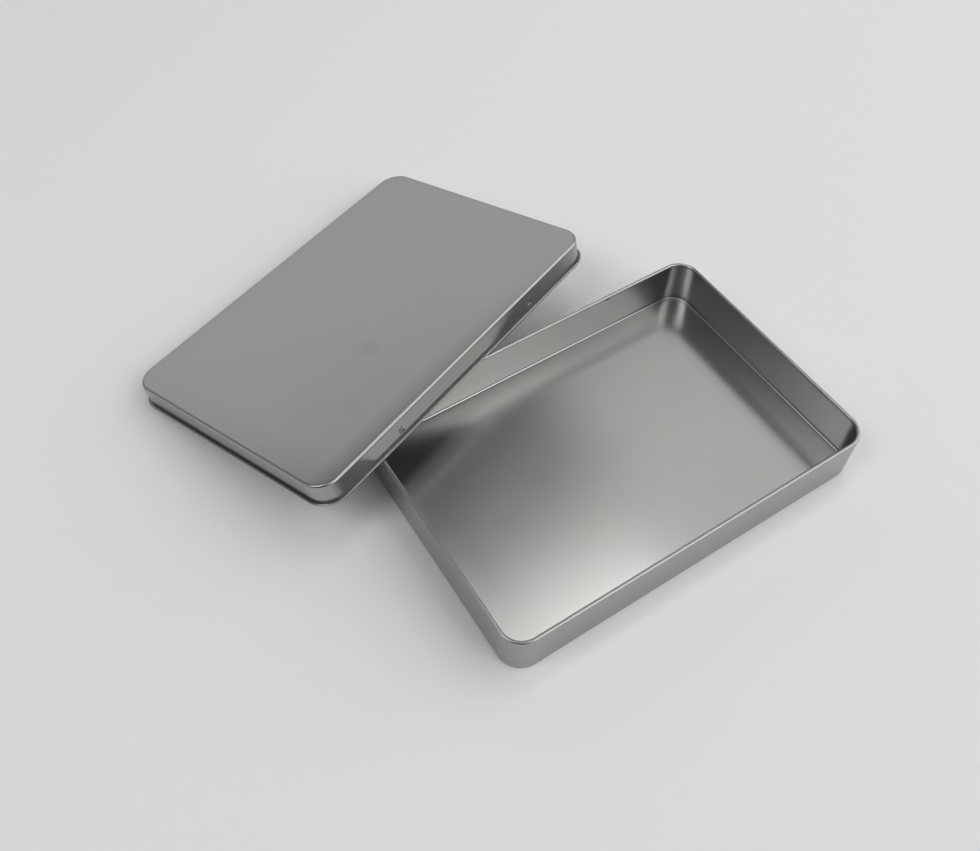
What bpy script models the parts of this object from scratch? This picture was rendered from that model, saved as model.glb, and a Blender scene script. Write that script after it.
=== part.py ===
"""A two-piece tinplate tin: an open tray and the slip-on lid that lies against it.

Blender 4.5. Metres, +Z up. The origin is the middle of the tray's underside, +X runs along the
tray's long sides and -Y faces its front. The lid lies outside up behind the tray: its back edge
is on the ground, and its front edge rests across the tray's back left corner.
"""

from math import asin, cos, pi, radians, sin

import bmesh
import bpy
from mathutils import Matrix, Vector

MM = 0.001

# Driving dimensions in millimetres, measured over the outside of the metal.
SHEET = 0.3
TRAY_LENGTH = 190.0
TRAY_WIDTH = 131.0
TRAY_HEIGHT = 26.0
CORNER_RADIUS = 11.0
TRAY_BEND = 1.5  # outside radius between floor and wall
TRAY_CURL = 0.9  # outside radius of the rim, which is rolled inward
LID_CLEARANCE = 0.6  # air on each side when the lid is on
LID_HEIGHT = 12.4
LID_BEND = 1.3
LID_CURL = 0.85  # outside radius of the rim, which is rolled outward

# How far round the two rims are rolled.
TRAY_CURL_TURN = radians(270)
LID_CURL_TURN = radians(216)

# Pressed dimples, two on each long wall, this far from its middle. A size is along the wall and
# up it, and a depth below zero goes inward.
DIMPLE_PLACE = TRAY_LENGTH / 4
TRAY_DIMPLE_SIZE = (5.0, 2.6)
TRAY_DIMPLE_DEPTH = 0.35
TRAY_DIMPLE_HEIGHT = TRAY_HEIGHT - 3.3
LID_DIMPLE_SIZE = (5.4, 4.8)
LID_DIMPLE_DEPTH = -0.6
LID_DIMPLE_HEIGHT = 4.9

# How the lid lies. Its front rim crosses the tray's back rim at this place along each.
LID_YAW = radians(20)
CROSSING_ON_TRAY = -25.0
CROSSING_ON_LID = 11.5
REST_GAP = 0.3

# Fineness of the meshes.
CORNER_STEPS = 9
BEND_STEPS = 5
CURL_STEP = radians(22.5)
DIMPLE_COLUMNS = 8
DIMPLE_ROWS = 6
SHARP = radians(50)  # smooth shading stops at a sharper edge
SAME = 0.01  # two places this near are the same

# Worked out from the above.
MIDDLE = SHEET / 2  # from a face of the sheet to its middle
LID_LENGTH = TRAY_LENGTH + 2 * (LID_CLEARANCE + SHEET)
LID_WIDTH = TRAY_WIDTH + 2 * (LID_CLEARANCE + SHEET)


def clear_scene():
    for thing in list(bpy.data.objects):
        bpy.data.objects.remove(thing)


def new_collection(name):
    group = bpy.data.collections.new(name)
    bpy.context.scene.collection.children.link(group)
    return group


def tinplate(name, roughness):
    """Satin tin-plated steel."""
    material = bpy.data.materials.new(name)
    material.use_nodes = True
    surface = material.node_tree.nodes["Principled BSDF"]
    surface.inputs["Base Color"].default_value = (0.62, 0.63, 0.61, 1.0)
    surface.inputs["Metallic"].default_value = 1.0
    surface.inputs["Roughness"].default_value = roughness
    return material


def spread(middle, size, steps):
    """Evenly spaced places over a size, both ends included."""
    return [middle + size * (i / steps - 0.5) for i in range(steps + 1)]


def arc(centre, radius, start, turn, steps):
    """Points on an arc, both ends included."""
    angles = [start + turn * i / steps for i in range(steps + 1)]
    return [(centre[0] + radius * cos(a), centre[1] + radius * sin(a)) for a in angles]


def wall_path(length, width, dimple_width):
    """The middle of the wall's sheet from above, with points across each dimple."""
    radius = CORNER_RADIUS - MIDDLE
    x = length / 2 - CORNER_RADIUS
    y = width / 2 - CORNER_RADIUS
    columns = []
    for place in (-DIMPLE_PLACE, DIMPLE_PLACE):
        columns += spread(place, dimple_width, DIMPLE_COLUMNS)
    points = arc((-x, y), radius, pi, -pi / 2, CORNER_STEPS)
    points += [(column, y + radius) for column in columns]
    points += arc((x, y), radius, pi / 2, -pi / 2, CORNER_STEPS)
    points += arc((x, -y), radius, 0.0, -pi / 2, CORNER_STEPS)
    points += [(column, -y - radius) for column in reversed(columns)]
    points += arc((-x, -y), radius, -pi / 2, -pi / 2, CORNER_STEPS)
    return points


def tray_section():
    """The middle of the tray's sheet from floor to rim, as distance in from the wall and height.

    The rim turns in over the top and on down until its edge points back at the wall.
    """
    bend = TRAY_BEND - MIDDLE
    curl = TRAY_CURL - MIDDLE
    points = arc((bend, TRAY_BEND), bend, -pi / 2, -pi / 2, BEND_STEPS)
    rows = spread(TRAY_DIMPLE_HEIGHT, TRAY_DIMPLE_SIZE[1], DIMPLE_ROWS)
    points += [(0.0, row) for row in rows]
    steps = round(TRAY_CURL_TURN / CURL_STEP)
    points += arc((curl, TRAY_HEIGHT - TRAY_CURL), curl, pi, -TRAY_CURL_TURN, steps)
    return points


def lid_section():
    """The same for the lid, from its top down. Its rim stands at height zero.

    The rim turns out at the bottom and up again, and a slot stays between its edge and the wall.
    """
    bend = LID_BEND - MIDDLE
    curl = LID_CURL - MIDDLE
    points = arc((bend, LID_HEIGHT - LID_BEND), bend, pi / 2, pi / 2, BEND_STEPS)
    rows = spread(LID_DIMPLE_HEIGHT, LID_DIMPLE_SIZE[1], DIMPLE_ROWS)
    points += [(0.0, row) for row in reversed(rows)]
    steps = round(LID_CURL_TURN / CURL_STEP)
    points += arc((-curl, LID_CURL), curl, 0.0, -LID_CURL_TURN, steps)
    return points


def guide_curve(name, points, closed, group):
    curve = bpy.data.curves.new(name, "CURVE")
    curve.dimensions = "2D"
    curve.fill_mode = "NONE"
    spline = curve.splines.new("POLY")
    spline.points.add(len(points) - 1)
    for point, (x, y) in zip(spline.points, points):
        point.co = (x * MM, y * MM, 0.0, 1.0)
    spline.use_cyclic_u = closed
    guide = bpy.data.objects.new(name, curve)
    guide.hide_render = True
    guide.display_type = "WIRE"
    group.objects.link(guide)
    return guide


def swept_sheet(name, path_points, section_points, group):
    """The open surface that the section sweeps on its way round the path, as a mesh."""
    section = guide_curve(name + "_section", section_points, False, group)
    path = guide_curve(name + "_path", path_points, True, group)
    path.data.bevel_mode = "OBJECT"
    path.data.bevel_object = section
    bpy.context.view_layer.update()
    graph = bpy.context.evaluated_depsgraph_get()
    mesh = bpy.data.meshes.new_from_object(path.evaluated_get(graph))
    path.data.bevel_object = None
    return mesh


def close_end(sheet, height):
    """Fills the ring of open edges at a height with one flat face."""
    ring = [
        edge
        for edge in sheet.edges
        if edge.is_boundary and all(abs(v.co.z - height * MM) < SAME * MM for v in edge.verts)
    ]
    bmesh.ops.contextual_create(sheet, geom=ring)


def press_dimples(sheet, wall_y, size, depth, height):
    """Pushes the long walls in or out in smooth round spots."""
    for vert in sheet.verts:
        along = 2 * (abs(vert.co.x) / MM - DIMPLE_PLACE) / size[0]
        up = 2 * (vert.co.z / MM - height) / size[1]
        on_wall = abs(abs(vert.co.y) / MM - wall_y) < SAME
        away = (along**2 + up**2) ** 0.5
        if on_wall and away < 1:
            push = depth * cos(away * pi / 2) ** 2
            vert.co.y += push * MM if vert.co.y > 0 else -push * MM


def sheet_metal(name, mesh, material, group):
    """Gives an open surface its thickness, half to each side."""
    mesh.materials.clear()
    mesh.materials.append(material)
    piece = bpy.data.objects.new(name, mesh)
    group.objects.link(piece)
    solid = piece.modifiers.new("sheet", "SOLIDIFY")
    solid.thickness = SHEET * MM
    solid.offset = 0.0
    solid.use_even_offset = True
    mesh.shade_smooth()
    mesh.set_sharp_from_angle(angle=SHARP)
    return piece


def formed_piece(name, size, section, dimple, material, groups):
    """One pressed piece: wall and rolled rim, flat end and dimples, then the metal's thickness."""
    length, width = size
    dimple_size, depth, height = dimple
    path = wall_path(length, width, dimple_size[0])
    mesh = swept_sheet(name, path, section, groups["guides"])
    sheet = bmesh.new()
    sheet.from_mesh(mesh)
    close_end(sheet, section[0][1])
    press_dimples(sheet, width / 2 - MIDDLE, dimple_size, depth, height)
    bmesh.ops.recalc_face_normals(sheet, faces=sheet.faces)
    sheet.to_mesh(mesh)
    sheet.free()
    return sheet_metal(name, mesh, material, groups["tin"])


def lid_pose():
    """The back of the lid's rim stands on the ground, and its front lies on the tray's rim."""
    rim_y = LID_WIDTH / 2 - SHEET + LID_CURL
    rise = TRAY_HEIGHT + REST_GAP
    tilt = asin(rise / (2 * rim_y))
    turn = Matrix.Rotation(LID_YAW, 4, "Z") @ Matrix.Rotation(-tilt, 4, "X")
    on_lid = Vector((CROSSING_ON_LID, -rim_y, LID_CURL))
    on_tray = Vector((CROSSING_ON_TRAY, TRAY_WIDTH / 2 - TRAY_CURL, rise + LID_CURL))
    return Matrix.Translation((on_tray - turn @ on_lid) * MM) @ turn


def main():
    clear_scene()
    groups = {"tin": new_collection("slip_lid_tin"), "guides": new_collection("guides")}
    groups["guides"].hide_render = True
    formed_piece(
        "tray",
        (TRAY_LENGTH, TRAY_WIDTH),
        tray_section(),
        (TRAY_DIMPLE_SIZE, TRAY_DIMPLE_DEPTH, TRAY_DIMPLE_HEIGHT),
        tinplate("tray_tinplate", 0.34),
        groups,
    )
    lid = formed_piece(
        "lid",
        (LID_LENGTH, LID_WIDTH),
        lid_section(),
        (LID_DIMPLE_SIZE, LID_DIMPLE_DEPTH, LID_DIMPLE_HEIGHT),
        tinplate("lid_tinplate", 0.38),
        groups,
    )
    lid.matrix_world = lid_pose()


main()
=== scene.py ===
"""The looks of the slip lid tin: finely formed tinplate pieces, their finish, and a plain studio.

Metres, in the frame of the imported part: the origin is the middle of the tray's underside, +X runs
along the tray's long sides, -Y faces its front and +Z is up.
"""

from collections import namedtuple
from math import asin, atan2, cos, dist, hypot, pi, radians, sin

import bmesh
import bpy
from mathutils import Matrix, Vector
from mathutils.noise import noise

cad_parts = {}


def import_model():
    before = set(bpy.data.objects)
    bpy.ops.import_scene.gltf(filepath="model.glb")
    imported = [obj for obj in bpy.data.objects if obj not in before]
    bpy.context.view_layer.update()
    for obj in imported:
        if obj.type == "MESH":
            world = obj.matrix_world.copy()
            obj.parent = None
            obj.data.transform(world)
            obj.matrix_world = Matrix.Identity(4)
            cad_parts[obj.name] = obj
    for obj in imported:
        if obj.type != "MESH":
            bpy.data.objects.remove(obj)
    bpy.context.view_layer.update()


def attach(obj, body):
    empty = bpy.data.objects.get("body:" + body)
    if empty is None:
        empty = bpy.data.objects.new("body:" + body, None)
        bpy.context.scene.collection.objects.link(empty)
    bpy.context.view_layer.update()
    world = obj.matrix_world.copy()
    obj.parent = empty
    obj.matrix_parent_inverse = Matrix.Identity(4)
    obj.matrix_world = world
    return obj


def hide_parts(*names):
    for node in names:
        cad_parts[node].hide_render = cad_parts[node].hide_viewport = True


MM = 0.001

# The tin's sizes in millimetres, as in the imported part.
SHEET = 0.3
TRAY_SIZE = (190.0, 131.0)
TRAY_HEIGHT = 26.0
CORNER_RADIUS = 11.0
TRAY_BEND = 1.5
TRAY_CURL = 0.9
LID_CLEARANCE = 0.6
LID_HEIGHT = 12.4
LID_BEND = 1.3
LID_CURL = 0.85
TRAY_CURL_TURN = radians(270)
LID_CURL_TURN = radians(216)
DIMPLE_PLACE = TRAY_SIZE[0] / 4
TRAY_DIMPLE = {"size": (5.0, 2.6), "depth": 0.35, "height": TRAY_HEIGHT - 3.3}
LID_DIMPLE = {"size": (5.4, 4.8), "depth": -0.6, "height": 4.9}

# How the lid lies: its turn, how far from the middle of each rim the two cross, and the gap there.
LID_YAW = radians(20)
CROSSING_ON_TRAY = -25.0
CROSSING_ON_LID = 11.5
REST_GAP = 0.3

MIDDLE = SHEET / 2
LID_SIZE = tuple(side + 2 * (LID_CLEARANCE + SHEET) for side in TRAY_SIZE)

# Fineness of the pieces.
CORNER_STEPS = 24
BEND_STEPS = 8
CURL_STEP = radians(12)
DIMPLE_COLUMNS = 28
DIMPLE_ROWS = 20
WALL_STEP = 6.0
WALL_ROWS = 4
SAME = 0.01  # lengths that differ by less are the same
WELD = SAME * MM / 10

# The slight unevenness that drawing leaves in the sheet, always towards the inside of the tin.
PANEL_HOLLOW = 0.05
PANEL_WAVE = 0.025
PANEL_WAVE_LENGTH = 34.0
WALL_WAVE = 0.05
WALL_WAVE_LENGTH = 24.0
WORKED_FADE = 1.2  # how far the duller metal of a bend reaches beyond it

# Finish of the tinplate.
WARM_TIN = (0.327, 0.330, 0.313, 1.0)
COOL_TIN = (0.326, 0.332, 0.327, 1.0)
ROUGHNESS = 0.215
ANISOTROPY = 0.6
GRAZING_TINT = (0.6, 0.6, 0.6, 1.0)  # the sharp part of its shine is weaker at a flat angle
HAZE = {  # the wide, weak part of its shine
    "Coat Weight": 1.0,
    "Coat Roughness": 0.32,
    "Coat IOR": 2.05,
}
MICRON = 0.001 * MM

# Each texture's size in millimetres across and along the sheet, and its levels of detail.
LINE_TEXTURES = {
    "fine": (0.30, 12.0, 2.0),
    "streak": (1.8, 80.0, 2.0),
}
SHEET_TEXTURES = {
    "peel": (2.6, 3.4, 2.0),
    "mottle": (8.0, 12.0, 3.0),
    "cloud": (38.0, 55.0, 1.0),
}
TARNISH = (30.0, 24.0, 2.0)
GATHERED = (16.0, 1000.0, 2.0)  # the first in thousandths of a radian round a corner

# How much each texture changes the metal's tone, its roughness, and its height in microns.
TONE = {
    "fine": 0.06,
    "streak": 0.06,
    "mottle": 0.06,
    "cloud": 0.06,
    "gathered": 0.10,
    "finger": -0.20,
}
ROUGHER = {
    "fine": 0.02,
    "mottle": 0.03,
    "cloud": 0.03,
    "gathered": 0.03,
    "finger": 0.025,
    "corner": 0.04,
    "worked": 0.02,
}
RELIEF = {
    "fine": 1.0,
    "streak": 4.0,
    "peel": 4.0,
    "gathered": 10.0,
}

# Where the textures of each sheet start.
TRAY_START = (0.31, 0.17, 0.0)
LID_START = (0.73, 0.59, 0.0)

# Finger marks: place on the sheet from its middle, radius, and how dark. Below zero is paler.
LID_MARKS = (
    ((-21.0, -24.4), 8.5, 0.55),
    ((-51.7, -42.3), 9.0, 0.25),
    ((-29.6, -45.0), 8.0, 0.2),
    ((10.5, 25.1), 20.0, -0.2),
)
TRAY_MARKS = (((58.0, 21.0), 9.0, 0.15),)

# Camera: where it stands, how it is turned, and its focal length in the picture's pixels.
CAMERA_AT = (-0.1735, -0.1761, 0.3717)
CAMERA_TURN = (2.4421, -0.7117, 0.2176)  # rotation vector from the tray's frame to the picture's
FOCAL_PIXELS = 943.4
IMAGE_WIDTH = 980
SENSOR_MM = 36.0

# Studio. A light's brightness is what it shows of itself. A slope is how far a ray from the camera
# that the tray's floor has mirrored goes along X and Y for each metre that it rises.
WATTS = 4.0  # for a brightness of 1 from one square metre
WORLD_COLOUR = (0.98, 1.0, 0.95, 1.0)
WORLD_BRIGHTNESS = 0.33
PANEL_HEIGHT = 1.5
PANELS = {
    "hot": {"low": (0.20, 0.22), "high": (0.44, 0.34), "brightness": 3.2},
    "right": {"low": (0.47, 0.10), "high": (0.90, 0.68), "brightness": 0.52},
}
SOFT_LIGHTS = {
    "front_left": {"at": (0.4, -1.65, 1.9), "aim": (0.1, 0.0, 0.0), "size": (1.2, 1.0), "brightness": 1.45},
    "side": {"at": (3.6, -2.5, 2.7), "aim": (0.0, 0.0, 0.0), "size": (9.0, 5.0), "brightness": 0.92},
    "back": {"at": (0.56, 3.0, 1.7), "aim": (0.0, 0.0, 0.0), "size": (3.0, 2.2), "brightness": 0.33},
    "left": {"at": (-1.4, 0.1, 1.9), "aim": (0.0, 0.0, 0.0), "size": (1.0, 1.0), "brightness": 2.4},
}
FLAG_HEIGHT = 1.45
FLAG_SLOPES = ((-0.7, 0.36), (0.24, 0.40), (0.43, 0.465), (0.46, 0.53), (0.46, 1.0), (-0.7, 1.0))
STAND_HEIGHT = 0.6
STAND_FOOT = ((-0.75, -0.20), (-0.20, -0.75))
FLOOR_REACH = 8.0
FLOOR = {"Base Color": (0.9, 0.9, 0.9, 1.0), "Roughness": 0.7, "Specular IOR Level": 0.2}
DARK_CARD = {"Base Color": (0.035, 0.04, 0.03, 1.0), "Roughness": 0.8, "Specular IOR Level": 0.2}

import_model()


# ---------------------------------------------------------------- shapes


def spread(low, high, steps):
    return [low + (high - low) * i / steps for i in range(steps + 1)]


def arc(centre, radius, start, turn, steps):
    angles = [start + turn * i / steps for i in range(steps + 1)]
    return [(centre[0] + radius * cos(a), centre[1] + radius * sin(a)) for a in angles]


def places_along(half, dimple_width):
    """Places along a straight wall from -half to half: even steps, and close ones at the dimples."""
    places = []
    edges = [-half]
    for middle in (-DIMPLE_PLACE, DIMPLE_PLACE):
        edges += [middle - dimple_width / 2, middle + dimple_width / 2]
    edges.append(half)
    for low, high in zip(edges, edges[1:]):
        on_dimple = abs(high - low - dimple_width) < SAME
        steps = DIMPLE_COLUMNS if on_dimple else max(1, round((high - low) / WALL_STEP))
        places += spread(low, high, steps)[1:]
    return places[:-1]


def wall_path(size, dimple_width):
    """The middle of the wall's sheet from above."""
    radius = CORNER_RADIUS - MIDDLE
    x, y = (side / 2 - CORNER_RADIUS for side in size)
    across = spread(-y, y, round(2 * y / WALL_STEP))[1:-1]
    along = places_along(x, dimple_width)
    points = arc((-x, y), radius, pi, -pi / 2, CORNER_STEPS)
    points += [(place, y + radius) for place in along]
    points += arc((x, y), radius, pi / 2, -pi / 2, CORNER_STEPS)
    points += [(x + radius, place) for place in reversed(across)]
    points += arc((x, -y), radius, 0.0, -pi / 2, CORNER_STEPS)
    points += [(place, -y - radius) for place in reversed(along)]
    points += arc((-x, -y), radius, -pi / 2, -pi / 2, CORNER_STEPS)
    points += [(-x - radius, place) for place in across]
    return points


def wall_rows(low, high, dimple):
    """Heights up a wall, with close ones at the dimples."""
    bottom = dimple["height"] - dimple["size"][1] / 2
    top = dimple["height"] + dimple["size"][1] / 2
    rows = spread(low, bottom, WALL_ROWS)[1:]
    rows += spread(bottom, top, DIMPLE_ROWS)[1:]
    return rows + spread(top, high, WALL_ROWS)[1:-1]


def tray_section():
    """Distance in from the wall and height, along the middle of the sheet from floor to rim."""
    bend = TRAY_BEND - MIDDLE
    curl = TRAY_CURL - MIDDLE
    points = arc((bend, TRAY_BEND), bend, -pi / 2, -pi / 2, BEND_STEPS)
    points += [(0.0, z) for z in wall_rows(TRAY_BEND, TRAY_HEIGHT - TRAY_CURL, TRAY_DIMPLE)]
    steps = round(TRAY_CURL_TURN / CURL_STEP)
    points += arc((curl, TRAY_HEIGHT - TRAY_CURL), curl, pi, -TRAY_CURL_TURN, steps)
    return points


def lid_section():
    bend = LID_BEND - MIDDLE
    curl = LID_CURL - MIDDLE
    points = arc((bend, LID_HEIGHT - LID_BEND), bend, pi / 2, pi / 2, BEND_STEPS)
    rows = wall_rows(LID_CURL, LID_HEIGHT - LID_BEND, LID_DIMPLE)
    points += [(0.0, z) for z in reversed(rows)]
    steps = round(LID_CURL_TURN / CURL_STEP)
    points += arc((-curl, LID_CURL), curl, 0.0, -LID_CURL_TURN, steps)
    return points


def guide_curve(name, points, closed):
    curve = bpy.data.curves.new(name, "CURVE")
    curve.dimensions = "2D"
    curve.fill_mode = "NONE"
    spline = curve.splines.new("POLY")
    spline.points.add(len(points) - 1)
    for point, (x, y) in zip(spline.points, points):
        point.co = (x * MM, y * MM, 0.0, 1.0)
    spline.use_cyclic_u = closed
    guide = bpy.data.objects.new(name, curve)
    bpy.context.scene.collection.objects.link(guide)
    return guide


def swept_sheet(name, path_points, section_points):
    section = guide_curve(name + "_section", section_points, False)
    path = guide_curve(name + "_path", path_points, True)
    path.data.bevel_mode = "OBJECT"
    path.data.bevel_object = section
    bpy.context.view_layer.update()
    graph = bpy.context.evaluated_depsgraph_get()
    mesh = bpy.data.meshes.new_from_object(path.evaluated_get(graph))
    bpy.data.objects.remove(path)
    bpy.data.objects.remove(section)
    return mesh


def close_end(sheet, height):
    ring = [
        edge
        for edge in sheet.edges
        if edge.is_boundary and all(abs(v.co.z - height * MM) < SAME * MM for v in edge.verts)
    ]
    bmesh.ops.contextual_create(sheet, geom=ring)


def rule_panel(sheet, size, height, dimple_width):
    """Cuts the flat end face along the lines between the places of the walls across from each other."""
    x, y = (side / 2 - CORNER_RADIUS for side in size)
    cuts = [(Vector((place * MM, 0, 0)), Vector((1, 0, 0))) for place in places_along(x, dimple_width)]
    across = spread(-y, y, round(2 * y / WALL_STEP))
    cuts += [(Vector((0, place * MM, 0)), Vector((0, 1, 0))) for place in across]
    for point, normal in cuts:
        faces = [f for f in sheet.faces if all(abs(v.co.z - height * MM) < SAME * MM for v in f.verts)]
        parts = set(faces) | {e for f in faces for e in f.edges} | {v for f in faces for v in f.verts}
        bmesh.ops.bisect_plane(sheet, geom=list(parts), dist=SAME * MM, plane_co=point, plane_no=normal)


Spot = namedtuple("Spot", "x y z root out inset travel")


def travels_along(section):
    """How far along the sheet each point of the section lies from the panel's edge."""
    travels = [0.0]
    for before, after in zip(section, section[1:]):
        travels.append(travels[-1] + dist(before, after))
    return travels


def spots_of(sheet, size, section):
    """Where each vertex lies on the sheet. Travel is below zero on the panel."""
    travels = travels_along(section)
    core = [side / 2 - CORNER_RADIUS for side in size]
    panel_reach = CORNER_RADIUS - MIDDLE - section[0][0]
    known = {}
    spots = {}
    for vert in sheet.verts:
        x, y, z = (c / MM for c in vert.co)
        root = Vector([max(-half, min(half, c)) for c, half in zip((x, y), core)])
        away = Vector((x, y)) - root
        inset = CORNER_RADIUS - MIDDLE - away.length
        if abs(z - section[0][1]) < SAME and away.length < panel_reach + SAME:
            travel = away.length - panel_reach
        else:
            key = (round(inset, 3), round(z, 3))
            if key not in known:
                known[key] = min(range(len(section)), key=lambda i: dist(section[i], key))
            travel = travels[known[key]]
        spots[vert] = Spot(x, y, z, root, away.normalized(), inset, travel)
    return spots


def smooth(value, low, high):
    share = max(0.0, min(1.0, (value - low) / (high - low)))
    return share * share * (3 - 2 * share)


def add_layers(sheet):
    """Room for what the finish needs to know of each vertex and face corner."""
    maps = [sheet.loops.layers.uv.new(name) for name in ("blank", "marks")]
    return maps + [sheet.verts.layers.float.new(name) for name in ("worked", "corner", "fan")]


def way_round(spot, core):
    """How far round the wall a vertex lies from the middle of the right wall, below zero at y below 0."""
    x, y = spot.root.x, abs(spot.root.y)
    turn = atan2(abs(spot.out.y), spot.out.x)
    way = y + core[0] - x + (CORNER_RADIUS - MIDDLE) * turn
    if turn > pi / 2:
        way += 2 * (core[1] - y)
    return -way if spot.y < 0 else way


def lay_out_marks(sheet, layer, spots, size):
    """Fills the map of the fine marks, whose first axis runs across them.

    They run along the sheet's rolling direction on the panel and up the drawn walls.
    """
    core = [side / 2 - CORNER_RADIUS for side in size]
    whole = 4 * (core[0] + core[1]) + 2 * pi * (CORNER_RADIUS - MIDDLE)
    for face in sheet.faces:
        flat = all(spots[vert].travel < SAME for vert in face.verts)
        ways = [way_round(spots[vert], core) for vert in face.verts]
        on_seam = max(ways) - min(ways) > whole / 2
        for loop, way in zip(face.loops, ways):
            spot = spots[loop.vert]
            turned = way + whole if on_seam and way < 0 else way
            place = (spot.y, spot.x) if flat else (turned, spot.travel)
            loop[layer].uv = (place[0] * MM, place[1] * MM)


def lay_out_blank(layers, spots, section, bend_length, curl_length):
    """Fills the other layers. The map's first axis runs across the sheet's rolling direction.

    worked is 1 in a bend or curl, corner is 1 in the middle of a corner, and fan is the angle
    round it.
    """
    blank, worked, corner, fan = layers
    panel_reach = CORNER_RADIUS - MIDDLE - section[0][0]
    whole = travels_along(section)[-1]
    for vert, spot in spots.items():
        if spot.travel < 0:
            place = Vector((spot.x, spot.y))
            gap = -spot.travel
        else:
            place = spot.root + spot.out * (panel_reach + spot.travel)
            gap = max(0.0, min(spot.travel - bend_length, whole - curl_length - spot.travel))
        turn = atan2(spot.out.y, spot.out.x)
        vert[worked] = 1 - smooth(gap, 0, WORKED_FADE)
        vert[corner] = abs(sin(2 * turn)) * smooth(spot.travel, -panel_reach / 2, bend_length)
        vert[fan] = turn
        for loop in vert.link_loops:
            loop[blank].uv = (place.y * MM, place.x * MM)


def unflatten(spots, section, inwards, seed):
    """Moves the panel's middle and the walls in by a little, unevenly. Inwards is the panel's way."""
    heights = [z for inset, z in section if abs(inset) < SAME]
    low, high = min(heights), max(heights)
    for vert, spot in spots.items():
        if spot.travel < 0:
            away = smooth(-spot.travel, 0, CORNER_RADIUS)
            place = Vector((spot.x, spot.y, seed)) / PANEL_WAVE_LENGTH
            push = PANEL_HOLLOW + PANEL_WAVE * noise(place)
            vert.co.z += inwards * push * away * MM
        elif abs(spot.inset) < SAME and low < spot.z < high:
            straight = 1 - abs(sin(2 * atan2(spot.out.y, spot.out.x)))
            up = sin(pi * (spot.z - low) / (high - low))
            place = Vector((spot.x, spot.y, spot.z + seed)) / WALL_WAVE_LENGTH
            push = WALL_WAVE * (0.5 + 0.5 * noise(place)) * up * straight
            vert.co.xy -= spot.out * push * MM


def press_dimples(spots, dimple):
    for vert, spot in spots.items():
        along = 2 * (abs(spot.x) - DIMPLE_PLACE) / dimple["size"][0]
        up = 2 * (spot.z - dimple["height"]) / dimple["size"][1]
        on_wall = abs(spot.inset) < SAME and abs(spot.out.y) > 1 - SAME
        away = hypot(along, up)
        if on_wall and away < 1:
            push = dimple["depth"] * cos(away * pi / 2) ** 2
            vert.co.y += push * MM * spot.out.y


def formed_piece(name, form, material):
    section = form["section"]
    mesh = swept_sheet(name, wall_path(form["size"], form["dimple"]["size"][0]), section)
    sheet = bmesh.new()
    sheet.from_mesh(mesh)
    bmesh.ops.remove_doubles(sheet, verts=sheet.verts, dist=WELD)
    close_end(sheet, section[0][1])
    rule_panel(sheet, form["size"], section[0][1], form["dimple"]["size"][0])
    blank, marks, *worked = add_layers(sheet)
    spots = spots_of(sheet, form["size"], section)
    lay_out_marks(sheet, marks, spots, form["size"])
    bend_length = form["bend"] * pi / 2
    curl_length = form["curl"] * form["curl_turn"]
    lay_out_blank((blank, *worked), spots, section, bend_length, curl_length)
    unflatten(spots, section, form["inwards"], form["seed"])
    press_dimples(spots, form["dimple"])
    bmesh.ops.recalc_face_normals(sheet, faces=sheet.faces)
    sheet.to_mesh(mesh)
    sheet.free()
    mesh.materials.clear()
    mesh.materials.append(material)
    mesh.shade_smooth()
    piece = bpy.data.objects.new(name, mesh)
    bpy.context.scene.collection.objects.link(piece)
    solid = piece.modifiers.new("sheet", "SOLIDIFY")
    solid.thickness = SHEET * MM
    solid.offset = 0.0
    solid.use_even_offset = True
    return piece


def lid_pose():
    rim_y = LID_SIZE[1] / 2 - SHEET + LID_CURL
    rise = TRAY_HEIGHT + REST_GAP
    tilt = asin(rise / (2 * rim_y))
    turn = Matrix.Rotation(LID_YAW, 4, "Z") @ Matrix.Rotation(-tilt, 4, "X")
    on_lid = Vector((CROSSING_ON_LID, -rim_y, LID_CURL))
    on_tray = Vector((CROSSING_ON_TRAY, TRAY_SIZE[1] / 2 - TRAY_CURL, rise + LID_CURL))
    return Matrix.Translation((on_tray - turn @ on_lid) * MM) @ turn


# ---------------------------------------------------------------- finish


def fill(tree, made, inputs):
    """Gives each input of a shader node a value, or joins it to a socket."""
    for socket, value in inputs.items():
        if isinstance(value, bpy.types.NodeSocket):
            tree.links.new(value, made.inputs[socket])
        else:
            made.inputs[socket].default_value = value


def node(tree, kind, inputs, **settings):
    made = tree.nodes.new("ShaderNode" + kind)
    for name, value in settings.items():
        setattr(made, name, value)
    fill(tree, made, inputs)
    return made


def maths(tree, operation, *values):
    return node(tree, "Math", dict(enumerate(values)), operation=operation).outputs[0]


def grain(tree, place, across, along, detail):
    """Noise with its size in millimetres across and along the sheet."""
    scale = (1 / (across * MM), 1 / (along * MM), 1.0)
    scaled = node(tree, "Mapping", {"Vector": place, "Scale": scale}).outputs[0]
    inputs = {"Vector": scaled, "Scale": 1.0, "Detail": detail}
    return node(tree, "TexNoise", inputs, noise_dimensions="2D").outputs[0]


def centred_grain(tree, place, texture):
    return maths(tree, "SUBTRACT", grain(tree, place, *texture), 0.5)


def between(tree, value, low, high):
    """0 below low, 1 above high, and smooth between them."""
    inputs = {"Value": value, "From Min": low, "From Max": high}
    return node(tree, "MapRange", inputs, interpolation_type="SMOOTHSTEP").outputs[0]


def stored(tree, name):
    return node(tree, "Attribute", {}, attribute_name=name).outputs["Fac"]


def laid_out(tree, uv_map):
    return node(tree, "UVMap", {}, uv_map=uv_map).outputs[0]


def shifted(tree, place, start):
    return node(tree, "Mapping", {"Vector": place, "Location": start}).outputs[0]


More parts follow.
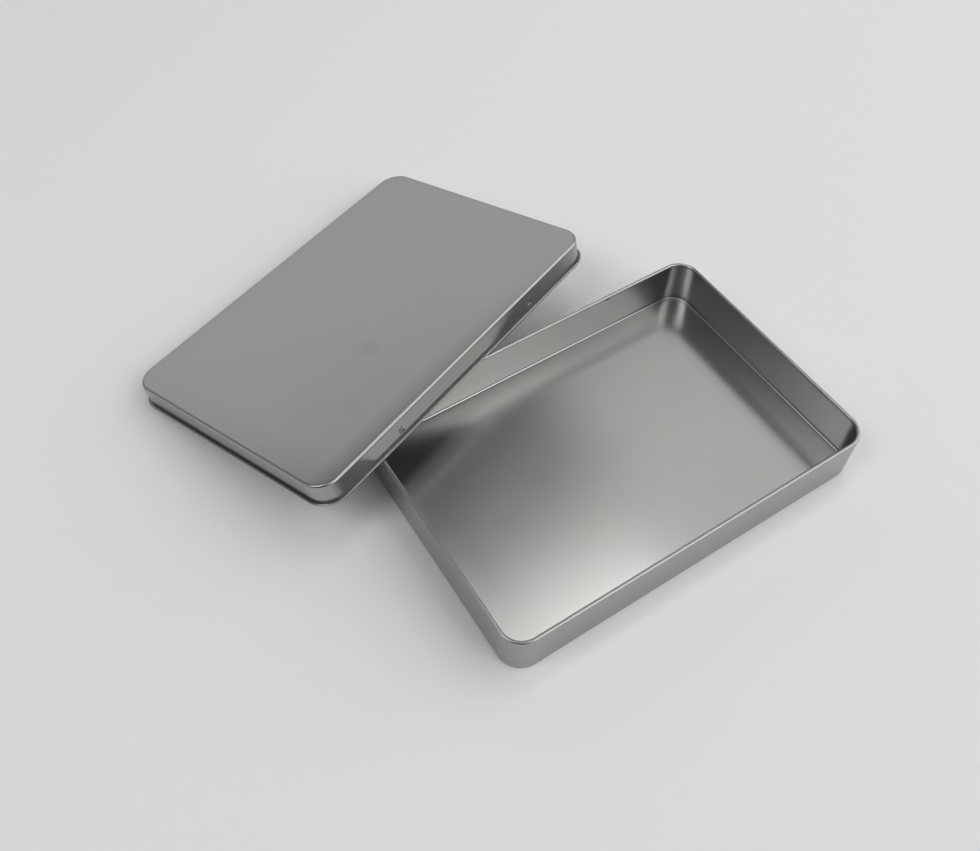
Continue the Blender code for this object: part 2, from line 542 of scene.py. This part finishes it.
def touched(tree, marks):
    """Finger marks on the sheet, each fading out from its middle to its radius."""
    sheet = laid_out(tree, "blank")
    value = 0.0
    for spot, radius, depth in marks:
        middle = (spot[1] * MM, spot[0] * MM, 0.0)
        away = node(tree, "VectorMath", {0: sheet, 1: middle}, operation="DISTANCE").outputs["Value"]
        value = maths(tree, "MULTIPLY_ADD", between(tree, away, radius * MM, 0.0), depth, value)
    return value


def textures_of(tree, start, marks):
    """Each texture of the finish by its name."""
    lines = shifted(tree, laid_out(tree, "marks"), start)
    sheet = shifted(tree, laid_out(tree, "blank"), start)
    made = {name: centred_grain(tree, lines, texture) for name, texture in LINE_TEXTURES.items()}
    made |= {name: centred_grain(tree, sheet, texture) for name, texture in SHEET_TEXTURES.items()}
    made |= {name: stored(tree, name) for name in ("worked", "corner")}
    round_corner = node(tree, "CombineXYZ", {0: stored(tree, "fan")}).outputs[0]
    gathered = centred_grain(tree, round_corner, GATHERED)
    made["gathered"] = maths(tree, "MULTIPLY", gathered, made["corner"])
    made["finger"] = touched(tree, marks)
    made["tarnish"] = grain(tree, sheet, *TARNISH)
    return made


def total(tree, start, textures, amounts):
    """A start value plus each texture times its amount."""
    value = start
    for name, amount in amounts.items():
        value = maths(tree, "MULTIPLY_ADD", textures[name], amount, value)
    return value


def tinplate(name, start, marks):
    """Satin rolled tinplate, with finger marks at places on the sheet."""
    material = bpy.data.materials.new(name)
    material.use_nodes = True
    tree = material.node_tree
    textures = textures_of(tree, start, marks)
    tints = {"Factor": textures["tarnish"], "A": WARM_TIN, "B": COOL_TIN}
    tint = node(tree, "Mix", tints, data_type="RGBA").outputs["Result"]
    tone = total(tree, 1.0, textures, TONE)
    height = total(tree, 0.0, textures, RELIEF)
    fill(tree, tree.nodes["Principled BSDF"], {
        "Base Color": node(tree, "VectorMath", {0: tint, 1: tone}, operation="MULTIPLY").outputs[0],
        "Roughness": total(tree, ROUGHNESS, textures, ROUGHER),
        "Normal": node(tree, "Bump", {"Height": height, "Strength": 1.0, "Distance": MICRON}).outputs[0],
        "Tangent": node(tree, "Tangent", {}, direction_type="UV_MAP", uv_map="marks").outputs[0],
        "Metallic": 1.0,
        "Anisotropic": ANISOTROPY,
        "Specular Tint": GRAZING_TINT,
        **HAZE,
    })
    return material


# ---------------------------------------------------------------- studio


def area_light(name, at, turn, size, brightness):
    light = bpy.data.lights.new(name, "AREA")
    light.shape = "RECTANGLE"
    light.size, light.size_y = size
    light.energy = brightness * WATTS * size[0] * size[1]
    lamp = bpy.data.objects.new(name, light)
    bpy.context.scene.collection.objects.link(lamp)
    lamp.location = at
    lamp.rotation_euler = turn


def soft_light(name, at, aim, size, brightness):
    """A soft light at a place, facing another."""
    turn = (Vector(aim) - Vector(at)).to_track_quat("-Z", "Y").to_euler()
    area_light(name, at, turn, size, brightness)


def overhead(slope, height):
    """The place at a height that the tray's floor mirrors to the camera, for a slope of the ray."""
    x, y, z = CAMERA_AT
    return Vector((x + slope[0] * (height + z), y + slope[1] * (height + z), height))


def panel(name, low, high, brightness):
    """A level soft light that the tray's floor mirrors between two slopes."""
    near, far = overhead(low, PANEL_HEIGHT), overhead(high, PANEL_HEIGHT)
    size = (far.x - near.x, far.y - near.y)
    area_light(name, (near + far) / 2, (0.0, 0.0, 0.0), size, brightness)


def plain(name, finish):
    material = bpy.data.materials.new(name)
    material.use_nodes = True
    fill(material.node_tree, material.node_tree.nodes["Principled BSDF"], finish)
    return material


def flat_card(name, corners, material):
    mesh = bpy.data.meshes.new(name)
    mesh.from_pydata([Vector(c) for c in corners], [], [tuple(range(len(corners)))])
    mesh.materials.append(material)
    card = bpy.data.objects.new(name, mesh)
    bpy.context.scene.collection.objects.link(card)
    return card


def world():
    made = bpy.data.worlds.new("studio")
    bpy.context.scene.world = made
    made.use_nodes = True
    background = {"Color": WORLD_COLOUR, "Strength": WORLD_BRIGHTNESS}
    fill(made.node_tree, made.node_tree.nodes["Background"], background)


def studio():
    reach = FLOOR_REACH
    corners = ((-reach, -reach, 0), (reach, -reach, 0), (reach, reach, 0), (-reach, reach, 0))
    flat_card("floor", corners, plain("pale_floor", FLOOR))
    world()
    for name, place in PANELS.items():
        panel(name, **place)
    for name, place in SOFT_LIGHTS.items():
        soft_light(name, **place)
    dark = plain("dark_card", DARK_CARD)
    flag = [overhead(slope, FLAG_HEIGHT) for slope in FLAG_SLOPES]
    stand = [(*place, 0.0) for place in STAND_FOOT]
    stand += [(*place, STAND_HEIGHT) for place in reversed(STAND_FOOT)]
    for name, corners in (("flag", flag), ("stand", stand)):
        flat_card(name, corners, dark).visible_camera = False


def camera():
    data = bpy.data.cameras.new("camera")
    data.sensor_width = SENSOR_MM
    data.lens = FOCAL_PIXELS * SENSOR_MM / IMAGE_WIDTH
    view = bpy.data.objects.new("camera", data)
    bpy.context.scene.collection.objects.link(view)
    turn = Vector(CAMERA_TURN)
    picture = Matrix.Rotation(turn.length, 3, turn.normalized())
    facing = picture.transposed() @ Matrix.Diagonal((1, -1, -1))
    view.matrix_world = Matrix.Translation(CAMERA_AT) @ facing.to_4x4()
    bpy.context.scene.camera = view


FORMS = {
    "tray": {
        "size": TRAY_SIZE,
        "section": tray_section(),
        "dimple": TRAY_DIMPLE,
        "bend": TRAY_BEND - MIDDLE,
        "curl": TRAY_CURL - MIDDLE,
        "curl_turn": TRAY_CURL_TURN,
        "inwards": 1,
        "seed": 3.0,
    },
    "lid": {
        "size": LID_SIZE,
        "section": lid_section(),
        "dimple": LID_DIMPLE,
        "bend": LID_BEND - MIDDLE,
        "curl": LID_CURL - MIDDLE,
        "curl_turn": LID_CURL_TURN,
        "inwards": -1,
        "seed": 71.0,
    },
}


def main():
    finishes = {
        "tray": tinplate("tray_tinplate", TRAY_START, TRAY_MARKS),
        "lid": tinplate("lid_tinplate", LID_START, LID_MARKS),
    }
    for node_name, form in FORMS.items():
        piece = formed_piece(node_name + "_sheet", form, finishes[node_name])
        if node_name == "lid":
            piece.data.transform(lid_pose())
        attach(piece, "root")
        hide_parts(node_name)
    studio()
    camera()
    bpy.context.scene.view_settings.view_transform = "Standard"


main()
